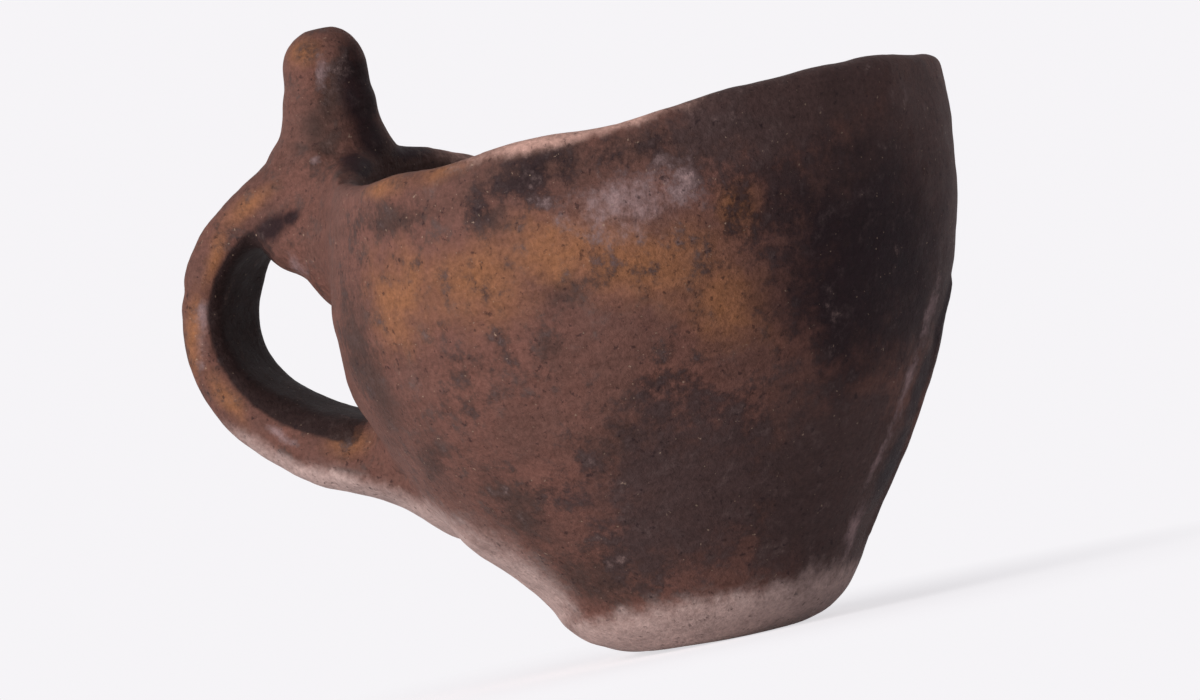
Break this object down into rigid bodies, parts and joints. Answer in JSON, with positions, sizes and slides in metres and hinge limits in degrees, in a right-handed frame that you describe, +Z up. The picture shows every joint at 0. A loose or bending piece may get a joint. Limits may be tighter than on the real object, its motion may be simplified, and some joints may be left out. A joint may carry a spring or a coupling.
{
  "type": "handled clay drinking cup",
  "caption": "Hand-built round clay cup with a small bevelled foot, a wide bowl, a one-finger strap handle and an upright thumb knob on its top.",
  "frame": {"origin": "centre of the flat under the foot", "axes": "+Z up out of the bowl, -X towards the handle"},
  "size_m": [0.1511, 0.1148, 0.1235],
  "materials": {
    "burnished_clay": "low-fired brown clay, lightly burnished, with fire clouds and soot",
    "scraped_clay": "low-fired brown clay, scraped and matt"
  },
  "bodies": {
    "root": {"base_slab": "scraped_clay", "lower_wall_ring": "burnished_clay", "belly_ring": "burnished_clay", "shoulder_ring": "burnished_clay", "upper_wall_ring": "burnished_clay", "rim_ring": "burnished_clay", "handle_strap": "burnished_clay", "thumb_knob": "burnished_clay", "lower_root_wad": "burnished_clay", "upper_root_wad": "burnished_clay", "inner_seal_wad": "scraped_clay"}
  },
  "joints": []
}
